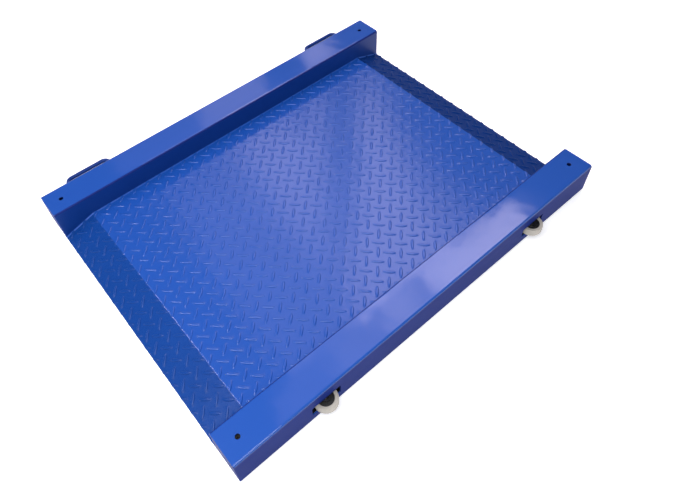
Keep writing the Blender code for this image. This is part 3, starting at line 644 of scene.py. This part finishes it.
def build_rails():
    conduit_low, conduit_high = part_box("cable_conduit")
    conduit_radius = (conduit_high.x - conduit_low.x) / 2

    def side_hole(radius, centre, face):
        return placed(cylinder(radius, -0.005, 0.005), (centre.x, face, centre.z), TO_Y)

    def conduit_hole(face):
        return side_hole(conduit_radius, (conduit_low + conduit_high) / 2, face)

    slots = []
    for side in SIDES:
        wheel_low, wheel_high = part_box(f"{side}_wheel_tyre")
        centre = (wheel_low + wheel_high) / 2
        low = (centre.x - SLOT_LENGTH / 2, centre.z - SLOT_HEIGHT / 2)
        high = (centre.x + SLOT_LENGTH / 2, centre.z + SLOT_HEIGHT / 2)
        outline = rounded_rectangle(low, high, SLOT_CORNER)
        slots.append(prism(outline, "Y", FRONT_FACE - 0.002, FRONT_FACE + RAIL_SHEET + 0.002))
    build_rail("front", FRONT_FACE, LANE_FRONT, slots + [conduit_hole(LANE_FRONT - RAIL_SHEET / 2)])
    gland_low, gland_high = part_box("cable_gland")
    gland_centre = (gland_low + gland_high) / 2
    gland_hole = side_hole(GLAND_HOLE_RADIUS, gland_centre, BACK_FACE - RAIL_SHEET / 2)
    build_rail("back", LANE_BACK, BACK_FACE, [gland_hole, conduit_hole(LANE_BACK + RAIL_SHEET / 2)])


# -------------------- wheels
def build_wheels():
    for side in SIDES:
        tyre_low, tyre_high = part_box(f"{side}_wheel_tyre")
        hub_low, hub_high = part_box(f"{side}_wheel_hub")
        centre = (tyre_low + tyre_high) / 2
        radius = (tyre_high.x - tyre_low.x) / 2
        half = (tyre_high.z - tyre_low.z) / 2
        inner = (hub_high.x - hub_low.x) / 2 + 0.0002
        edge = 0.0032
        tyre = [(inner, -half + 0.0008), (inner + 0.0008, -half)]
        tyre += arc((radius - edge, -half + edge), edge, -90, 0, 8)
        tyre += [(radius, -0.0006), (radius + 0.00025, -0.0003), (radius + 0.00025, 0.0003), (radius, 0.0006)]
        tyre += arc((radius - edge, half - edge), edge, 0, 90, 8)
        tyre += [(inner + 0.0008, half), (inner, half - 0.0008)]
        settle(
            f"{side}_tyre_piece", placed(turned(tyre, 96, ring=True), centre), GREY_RUBBER,
            f"{side}_wheel", [f"{side}_wheel_tyre"],
        )
        rim = inner - 0.0004
        axle_low, axle_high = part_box(f"{side}_wheel_axle")
        bore = 0.0043
        boss = 0.0085
        dish = half - 0.0045
        lip = rim - 0.0026
        rise = half - 0.0006
        face = [
            (bore, half), (boss - 0.0006, half), (boss, half - 0.0006), (boss + 0.0008, dish + 0.0006),
            (boss + 0.0016, dish), (lip - 0.0012, dish), (lip - 0.0004, dish + 0.0008), (lip, rise - 0.0004),
            (lip + 0.0004, rise), (rim - 0.0005, rise), (rim, rise - 0.0005),
        ]
        profile = face + [(reach, -height) for reach, height in reversed(face)]
        shells = [turned(profile, 72, ring=True)]
        for spoke in range(6):
            turn = Matrix.Rotation(math.tau * spoke / 6, 3, "Z")
            for sign in (-1, 1):
                low_z, high_z = sorted((sign * (dish - 0.0005), sign * (rise - 0.0008)))
                web = rounded_rectangle((boss - 0.001, -0.0009), (lip + 0.0008, 0.0009), 0.0004, 2)
                shells.append(placed(prism(web, "Z", low_z, high_z), turn=turn))
        settle(
            f"{side}_hub_piece", placed(together(*shells), centre), NYLON,
            f"{side}_wheel", [f"{side}_wheel_hub"],
        )
        reach = (axle_high.z - axle_low.z) / 2
        head = (axle_high.x - axle_low.x) / 2
        shank = 0.004
        dome = [(head * math.cos(t), reach - 0.002 + 0.002 * math.sin(t)) for t in (0.0, 0.4, 0.8, 1.2)]
        upper = [(shank, reach - 0.002)] + dome + [(0.0, reach)]
        lower = [(r, -z) for r, z in reversed(upper)]
        settle(
            f"{side}_axle_piece", placed(turned(lower + upper, 40), centre), BLACK_OXIDE,
            "root", [f"{side}_wheel_axle"],
        )
        dressed(f"{side}_wheel_fork", PRIMER, edge=0.0005)


# -------------------- handles
def build_handles():
    for side in SIDES:
        low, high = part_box(f"{side}_handle")
        radius = (high.z - low.z) / 2
        middle = (low + high) / 2
        half = (high.x - low.x) / 2 - radius
        out = high.y - radius
        route = [
            (middle.x - half, BACK_FACE, middle.z), (middle.x - half, out, middle.z),
            (middle.x + half, out, middle.z), (middle.x + half, BACK_FACE, middle.z),
        ]
        # the bar gets the lane sides' darker enamel: painted shade
        settle(
            f"{side}_handle_bar", swept(rounded(route, HANDLE_BEND), radius, 32), LANE_PAINTED_SHADE_ENAMEL,
            stands_for=[f"{side}_handle"],
        )
        for end, x in (("inner", -half), ("outer", half)):
            bead = [
                (radius - 0.0008, 0.0), (radius + 0.0042, 0.0), (radius + 0.0036, 0.0016),
                (radius + 0.0022, 0.0032), (radius + 0.0006, 0.0044), (radius - 0.0008, 0.0046),
            ]
            form = turned(bead, 88, ring=True, wave=0.00022, waves=22)
            placed(form, (middle.x + x, BACK_FACE, middle.z), TO_Y)
            settle(f"{side}_handle_{end}_weld", form, WELD_ENAMEL)


# -------------------- feet
def screw_thread(radius, depth, low, high, steps=28):
    """A round bar with a helical thread, cut flat at both ends."""
    form = bmesh.new()
    rows_each = 4
    profile = (0.0, 0.35, 1.0, 0.35)
    turns = math.ceil((high - low) / SCREW_PITCH) + 2
    columns = []
    for step in range(steps):
        share = step / steps
        column = []
        for row in range(turns * rows_each + 1):
            height = low - SCREW_PITCH + (row / rows_each + share) * SCREW_PITCH
            reach = radius - depth * (1 - profile[row % rows_each])
            turn = math.tau * share
            column.append(form.verts.new((reach * math.cos(turn), reach * math.sin(turn), height)))
        columns.append(column)
    for step in range(steps):
        shift = rows_each if step == steps - 1 else 0
        here, there = columns[step], columns[(step + 1) % steps]
        for row in range(len(here) - 1 - shift):
            form.faces.new((here[row], there[row + shift], there[row + 1 + shift], here[row + 1]))
    for place, normal in ((low, -1), (high, 1)):
        split(form, (0, 0, place), (0, 0, normal), clear=True)
        rim = [edge for edge in form.edges if edge.is_boundary and abs(edge.verts[0].co.z - place) < SAME_POINT]
        bmesh.ops.contextual_create(form, geom=rim)
    return form


def hexagon_prism(flats, low, high, chamfer=0.0008):
    """A hexagon bar's length, with its corners turned off at both ends."""
    points = arc((0.0, 0.0), flats / math.sqrt(3), 0, 300, 5)
    reach = flats / math.sqrt(3)
    turn_off = turned([
        (0.0, low), (reach - chamfer * 1.6, low), (reach + 0.0002, low + chamfer),
        (reach + 0.0002, high - chamfer), (reach - chamfer * 1.6, high), (0.0, high),
    ], 48)
    return carved(prism(points, "Z", low, high), [turn_off], "INTERSECT")


def hexagon_socket(flats, low, high):
    return prism(arc((0.0, 0.0), flats / math.sqrt(3), 0, 300, 5), "Z", low, high)


def build_foot(corner):
    stem_low, stem_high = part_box(f"{corner}_foot_stem")
    pad_low, pad_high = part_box(f"{corner}_foot_pad")
    sole_low, sole_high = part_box(f"{corner}_foot_sole")
    at = ((stem_low.x + stem_high.x) / 2, (stem_low.y + stem_high.y) / 2, 0)
    radius = (sole_high.x - sole_low.x) / 2
    foot = f"{corner}_foot"
    sole = [(0.0, sole_low.z)]
    for groove in (0.30, 0.50, 0.70):
        sole += [
            (radius * groove, sole_low.z), (radius * groove + 0.0003, sole_low.z + 0.0008),
            (radius * groove + 0.0011, sole_low.z + 0.0008), (radius * groove + 0.0014, sole_low.z),
        ]
    sole += arc((radius - 0.001, sole_low.z + 0.001), 0.001, -90, 0, 4)
    sole += arc((radius - 0.0006, sole_high.z - 0.0006), 0.0006, 0, 90, 3) + [(0.0, sole_high.z)]
    form = placed(turned(sole, 64), at)
    settle(f"{corner}_sole_piece", form, BLACK_RUBBER, foot, [f"{corner}_foot_sole"])
    base = pad_low.z
    height = pad_high.z - base
    socket = 0.0043
    socket_floor = pad_high.z - 0.0075
    cup = [(0.0, base), (radius - 0.0006, base), (radius, base + 0.0006), (radius, base + height * 0.26)]
    cup += arc((radius - 0.0016, base + height * 0.26), 0.0016, 0, 60, 4)[1:]
    for reach, rise in ((0.56, 0.72), (0.47, 0.80), (0.42, 0.90)):
        cup.append((radius * reach, base + height * rise))
    cup += [(radius * 0.40, pad_high.z), (socket, pad_high.z), (socket, socket_floor), (0.0, socket_floor)]
    form = placed(turned(cup, 64), at)
    settle(f"{corner}_pad_piece", form, ZINC, foot, [f"{corner}_foot_pad"])
    collar_low = pad_high.z + 0.0003
    collar_high = collar_low + 0.006
    top = stem_high.z
    bore = hexagon_socket(0.006, top - 0.006, top + 0.002)
    thread = screw_thread(THREAD_RADIUS, THREAD_DEPTH, collar_high - 0.0005, top - 0.0010)
    root = THREAD_RADIUS - THREAD_DEPTH
    tip = turned([
        (0.0, top - 0.0012), (root, top - 0.0012), (root, top - 0.0006), (root - 0.0006, top), (0.0, top),
    ], 40)
    spigot = cylinder(SPIGOT_RADIUS, stem_low.z, collar_low + 0.001)
    shaft = carved(together(thread, tip), [bore])
    form = placed(together(shaft, spigot, hexagon_prism(0.017, collar_low, collar_high)), at)
    stem = f"{corner}_stem"
    settle(f"{corner}_stem_piece", form, BLACK_OXIDE, stem, [f"{corner}_foot_stem"])
    nut_low, nut_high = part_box(f"{corner}_lock_nut")
    hole = turned([
        (0.0, nut_low.z - 0.002), (0.0072, nut_low.z - 0.0005), (0.0064, nut_low.z + 0.0006),
        (0.0064, nut_high.z - 0.0006), (0.0072, nut_high.z + 0.0005), (0.0, nut_high.z + 0.002),
    ], 40)
    nut = carved(hexagon_prism(0.019, nut_low.z, nut_high.z), [hole])
    placed(nut, at)
    settle(f"{corner}_nut_piece", nut, ZINC, "root", [f"{corner}_lock_nut"])


# -------------------- load cells
def build_cell(corner):
    stem_low, stem_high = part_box(f"{corner}_foot_stem")
    cell_low, cell_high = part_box(f"{corner}_load_cell")
    foot_x = (stem_low.x + stem_high.x) / 2
    y = (cell_low.y + cell_high.y) / 2
    inward = -math.copysign(1.0, foot_x)
    outline = rounded_rectangle((cell_low.x, cell_low.y), (cell_high.x, cell_high.y), 0.0012, 3)
    bar = prism(outline, "Z", cell_low.z, cell_high.z)
    flat_edges = [edge for edge in bar.edges if abs(edge.verts[0].co.z - edge.verts[1].co.z) < 0.000001]
    bmesh.ops.bevel(bar, geom=flat_edges, offset=0.0008, segments=2, profile=0.5, affect="EDGES")
    offsets = [0.0]
    for number in (1, 2):
        low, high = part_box(f"{corner}_cell_bolt_{number}")
        offsets.append(abs((low.x + high.x) / 2 - foot_x))
    tools = []
    for offset in offsets:
        hole = cylinder(0.0065, cell_low.z - 0.002, cell_high.z + 0.002)
        tools.append(placed(hole, (foot_x + inward * offset, y, 0)))
    pocket_x = foot_x + inward * 0.054
    pocket_z = (cell_low.z + cell_high.z) / 2
    pocket = [
        (0.0, -0.006), (0.0105, -0.006), (0.0110, -0.0055), (0.0110, 0.0045), (0.0116, 0.0052),
        (0.0116, 0.010), (0.0, 0.010),
    ]
    potting = [
        (0.0, 0.0), (0.0109, 0.0), (0.0109, 0.0030), (0.0104, 0.0026), (0.0060, 0.0022), (0.0, 0.0022),
    ]
    discs = []
    for sign, face in ((-1, cell_low.y), (1, cell_high.y)):
        turn = Matrix.Rotation(math.radians(90 if sign < 0 else -90), 3, "X")
        tools.append(placed(turned(pocket, 48), (pocket_x, face - sign * 0.0046, pocket_z), turn))
        discs.append(placed(turned(potting, 48), (pocket_x, face - sign * 0.0085, pocket_z), turn))
    settle(f"{corner}_cell_bar", carved(bar, tools), NICKEL, "root", [f"{corner}_load_cell"])
    settle(f"{corner}_cell_potting", together(*discs), POTTING, "root")
    dressed(f"{corner}_cell_block", RAIL_ENAMEL, edge=0.0009)
    for number in (1, 2):
        low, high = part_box(f"{corner}_cell_bolt_{number}")
        at = ((low.x + high.x) / 2, (low.y + high.y) / 2, 0)
        head_top = low.z + 0.012
        cap = turned([
            (0.0, low.z), (0.0078, low.z), (0.0088, low.z + 0.0008), (0.0088, head_top - 0.0012),
            (0.0084, head_top), (0.0, head_top),
        ], 2 * HEAD_KNURLS, wave=0.00012, waves=HEAD_KNURLS)
        cap = carved(cap, [hexagon_socket(0.010, low.z - 0.002, low.z + 0.006)])
        shank = cylinder(0.0058, head_top - 0.001, high.z, 32)
        settle(
            f"{corner}_bolt_{number}_piece", placed(together(cap, shank), at), ZINC,
            "root", [f"{corner}_cell_bolt_{number}"],
        )


# -------------------- junction box, gland, conduit and cables
def build_junction_box():
    low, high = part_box("junction_box")
    lid_low, lid_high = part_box("junction_box_lid")
    wall = 0.003
    body = prism(rounded_rectangle((low.x, low.y), (high.x, high.y), 0.006), "Z", low.z, high.z)
    hollow = rounded_rectangle((low.x + wall, low.y + wall), (high.x - wall, high.y - wall), 0.003)
    body = carved(body, [prism(hollow, "Z", low.z - 0.002, high.z - wall)])
    settle("junction_box_body", body, CAST_ALUMINIUM, "root", ["junction_box"])
    outline = rounded_rectangle((lid_low.x, lid_low.y), (lid_high.x, lid_high.y), 0.006)
    lid = prism(outline, "Z", lid_low.z, lid_high.z - GASKET / 2)
    rim = [edge for edge in lid.edges if all(corner.co.z < lid_low.z + SAME_POINT for corner in edge.verts)]
    bmesh.ops.bevel(lid, geom=rim, offset=0.0012, segments=3, profile=0.5, affect="EDGES")
    settle("junction_box_cover", lid, CAST_ALUMINIUM, "root", ["junction_box_lid"])
    seal = rounded_rectangle((low.x + 0.0008, low.y + 0.0008), (high.x - 0.0008, high.y - 0.0008), 0.0055)
    seal = prism(seal, "Z", lid_high.z - GASKET / 2, low.z)
    settle("junction_box_seal", seal, BLACK_RUBBER, "root")
    screws = []
    inset = 0.008
    for x in (low.x + inset, high.x - inset):
        for y in (low.y + inset, high.y - inset):
            head = turned([
                (0.0, -0.0018), (0.0018, -0.0018), (0.0034, -0.0010), (0.0038, 0.0004), (0.0, 0.0004),
            ], 32)
            outline = rounded_rectangle((-0.0018, -0.0004), (0.0018, 0.0004), 0.0002, 2)
            drive = prism(outline, "Z", -0.003, -0.0009)
            screws.append(placed(carved(head, [drive]), (x, y, lid_low.z)))
    settle("junction_box_screws", together(*screws), ZINC, "root")


def build_gland():
    low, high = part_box("cable_gland")
    centre = (low + high) / 2
    radius = (high.x - low.x) / 2
    face = BACK_FACE + 0.0003
    length = high.y - face
    bore = 0.0034
    flange = turned([
        (bore, 0.0), (radius, 0.0), (radius, length * 0.20), (radius * 0.93, length * 0.24), (bore, length * 0.24),
    ], 6 * 12, ring=True)
    dome = turned([
        (bore, length * 0.22), (radius * 0.90, length * 0.22), (radius * 0.93, length * 0.28),
        (radius * 0.91, length * 0.66), (radius * 0.82, length * 0.82), (radius * 0.62, length * 0.95),
        (radius * 0.50, length), (bore + 0.0006, length), (bore, length - 0.0006),
    ], 96, ring=True, wave=0.00018, waves=24)
    end = low.y - face
    tail = turned([
        (bore, end), (0.0076, end), (0.0080, end + 0.0006), (0.0080, 0.001), (bore, 0.001),
    ], 48, ring=True)
    plug = turned([
        (0.0, length * 0.3), (bore + 0.0003, length * 0.3),
        (bore + 0.0003, length - 0.0016), (0.0, length - 0.0010),
    ], 32)
    form = placed(together(flange, dome, tail, plug), (centre.x, face, centre.z), TO_Y)
    settle("gland_piece", form, NYLON, "root", ["cable_gland"])


def build_conduit():
    low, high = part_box("cable_conduit")
    centre = (low + high) / 2
    radius = (high.x - low.x) / 2
    inner = radius - 0.0017
    length = high.y - low.y
    edge = 0.0004
    profile = [
        (inner, edge), (inner + edge, 0.0), (radius - edge, 0.0), (radius, edge),
        (radius, length - edge), (radius - edge, length), (inner + edge, length), (inner, length - edge),
    ]
    form = placed(turned(profile, 48, ring=True), (centre.x, low.y, centre.z), TO_Y)
    settle("conduit_piece", form, RAIL_ENAMEL, stands_for=["cable_conduit"])


def build_cables():
    """The four cell cables keep their CAD tubes, without the seams."""
    for corner in CORNERS:
        node = f"{corner}_cell_cable"
        form = without_seams(node, 0.5)
        settle(f"{corner}_cable_piece", form, SHEATH, "root", [node], sharp=50.0)


# -------------------- floor, light and camera
FLOOR_REACH = 8.0            # where the floor starts to curve up
WALL_BEND = 2.0
WALL_TOP = 4.5
GLOW_CHANGE = 4.4            # from the middle to where the floor gives back more light
SHADOW_INSET = 0.012


def glowing_floor(name, glow):
    """Matte pale floor that gives back a little light of its own, so that shadows on it stay faint."""
    material, tree, shader, place = start_finish(name, Roughness=0.9, IOR=1.2)
    shader.inputs["Base Color"].default_value = linear("#F7F7F7")
    shader.inputs["Emission Color"].default_value = linear("#FFFFFF")
    shader.inputs["Emission Strength"].default_value = glow
    return material


def build_floor():
    """A pale floor that curves up into a pale wall far from the scale, with a painted shadow under the scale."""
    profile = [(0.0, 0.0), (3.0, 0.0), (6.0, 0.0), (FLOOR_REACH, 0.0)]
    profile += arc((FLOOR_REACH, WALL_BEND), WALL_BEND, -90, 0, 12)[1:]
    profile.append((FLOOR_REACH + WALL_BEND, WALL_TOP))
    floor = as_object("studio_floor", turned(profile, 96))
    floor.location.z = -0.0002
    floor.data.shade_smooth()
    floor.data.materials.append(glowing_floor("pale_studio_floor", 0.45))
    refinish(floor, glowing_floor("pale_studio_wall", 0.50), lambda face: face.center.xy.length > GLOW_CHANGE)
    # painted shadow: a dark sheet on the floor under the scale, so that the gaps below it and the wheel slots stay
    # dark
    form = bmesh.new()
    reach = HALF - SHADOW_INSET
    front = FRONT_FACE + SHADOW_INSET
    back = BACK_FACE - SHADOW_INSET
    corners = ((-reach, front), (reach, front), (reach, back), (-reach, back))
    form.faces.new([form.verts.new((x, y, -0.0001)) for x, y in corners])
    shadow = as_object("floor_in_shadow", form)
    dark = moulded("painted_shadow_under_the_scale", ("#0A0B0D", "#101113"), (0.8, 0.9), 300.0, 0.0002)
    shadow.data.materials.append(dark)


def softbox(name, outline, height, strength, colour):
    """A flat lit panel overhead, facing down, which no camera sees directly."""
    form = bmesh.new()
    form.faces.new([form.verts.new((x, y, height)) for x, y in reversed(outline)])
    panel = as_object(name, form)
    material = bpy.data.materials.new(name)
    material.use_nodes = True
    tree = material.node_tree
    tree.nodes.clear()
    glow = add(tree, "ShaderNodeEmission", {"Color": linear(colour), "Strength": strength})
    add(tree, "ShaderNodeOutputMaterial", {"Surface": glow.outputs["Emission"]})
    panel.data.materials.append(material)
    panel.visible_camera = False


def area_light(name, place, aim, size, power, colour):
    lamp = bpy.data.lights.new(name, "AREA")
    lamp.shape = "RECTANGLE"
    lamp.size, lamp.size_y = size
    lamp.energy = power
    lamp.color = linear(colour)[:3]
    made = bpy.data.objects.new(name, lamp)
    made.location = place
    made.rotation_euler = (Vector(aim) - Vector(place)).to_track_quat("-Z", "Y").to_euler()
    bpy.context.scene.collection.objects.link(made)


def build_light():
    """Lit panels shaped like window panes, seen only as reflections, and a soft lamp overhead."""
    # These outlines were worked out by a separate program and then rounded and adjusted.
    # They aren't driving dimensions and are no example to follow.
    panels = (
        # over the front rail: dim panes, a bar and a bright pane with a square end
        ("window_1", 0.8, ((-0.10, 0.10), (0.45, 0.10), (0.50, 0.72), (0.00, 0.72))),
        ("window_2", 1.5, ((0.45, 0.10), (1.00, 0.10), (1.02, 0.72), (0.50, 0.72))),
        ("window_3", 3.0, ((1.00, 0.10), (1.22, 0.10), (1.30, 0.72), (1.02, 0.72))),
        ("window_4", 1.9, ((1.22, 0.10), (1.42, 0.10), (1.52, 0.72), (1.30, 0.72))),
        ("window_5", 5.4, ((1.42, 0.10), (2.56, 0.10), (2.56, 0.72), (1.52, 0.72))),
        # over the deck: panes on each side of a slanted bar, and a step in the far edge
        ("window_6", 1.7, ((0.20, 0.74), (0.85, 0.74), (0.98, 1.20), (1.25, 3.05), (0.45, 3.05), (0.25, 1.70))),
        ("window_7", 4.6, ((0.98, 1.20), (1.90, 2.32), (2.45, 2.98), (2.45, 3.05), (2.26, 3.05), (1.96, 2.66),
                           (1.82, 2.74), (1.98, 2.98), (1.25, 3.05))),
        ("window_8", 5.4, ((0.85, 0.74), (1.90, 0.74), (2.10, 1.40), (2.86, 2.84), (2.78, 2.88), (2.14, 2.12),
                           (1.04, 1.13))),
        ("window_9", 2.3, ((1.90, 0.74), (2.36, 0.74), (2.46, 1.63), (2.62, 2.04), (3.08, 2.76), (2.86, 2.84),
                           (2.10, 1.40))),
        # over the back rail: a dim pane and two brighter ones
        ("window_10", 0.4, ((0.20, 3.14), (1.10, 3.14), (1.30, 3.90), (0.30, 3.90))),
        ("window_11", 1.3, ((1.10, 3.14), (1.92, 3.14), (2.06, 3.90), (1.30, 3.90))),
        ("window_12", 2.2, ((2.42, 3.14), (2.80, 3.14), (3.02, 3.90), (2.70, 3.90))),
        # a tube lamp that draws a thin bright line along the left ramp's fold
        ("tube_lamp", 36.0, ((-1.01, 0.80), (-0.85, 0.80), (-0.85, 1.95), (-1.01, 1.95))),
    )
    for name, strength, outline in panels:
        softbox(name, outline, 3.0, strength, "#FFECF8")
    area_light("overhead", (-0.95, -0.50, 1.85), (-0.3, -0.2, 0.0), (2.0, 1.0), 48.0, "#FFFFFF")
    world = bpy.data.worlds.new("studio")
    bpy.context.scene.world = world
    world.use_nodes = True
    backdrop = world.node_tree.nodes["Background"]
    backdrop.inputs["Color"].default_value = linear("#F2F4FA")
    backdrop.inputs["Strength"].default_value = 0.12


def build_camera():
    azimuth, elevation, roll = (math.radians(angle) for angle in (-36.39, 49.47, -4.53))
    back = Vector((
        math.sin(azimuth) * math.cos(elevation), -math.cos(azimuth) * math.cos(elevation), math.sin(elevation),
    ))
    level = (-back).cross(Vector((0, 0, 1))).normalized()
    upright = level.cross(-back)
    right = math.cos(roll) * level + math.sin(roll) * upright
    up = math.cos(roll) * upright - math.sin(roll) * level
    data = bpy.data.cameras.new("camera")
    data.sensor_width = 36.0
    data.lens = 32.02
    data.shift_x = 0.05
    data.shift_y = -0.0929
    data.clip_end = 60.0
    camera = bpy.data.objects.new("camera", data)
    camera.matrix_world = Matrix.LocRotScale(
        Vector((-0.6639, -0.9174, 1.3993)), Matrix((right, up, back)).transposed(), Vector((1, 1, 1))
    )
    bpy.context.scene.collection.objects.link(camera)
    bpy.context.scene.camera = camera


build_camera()
build_deck()
build_deck_welds()
build_rails()
build_wheels()
build_handles()
for corner_name in CORNERS:
    build_foot(corner_name)
    build_cell(corner_name)
build_junction_box()
build_gland()
build_conduit()
build_cables()
build_floor()
build_light()
bpy.context.scene.view_settings.view_transform = "Standard"
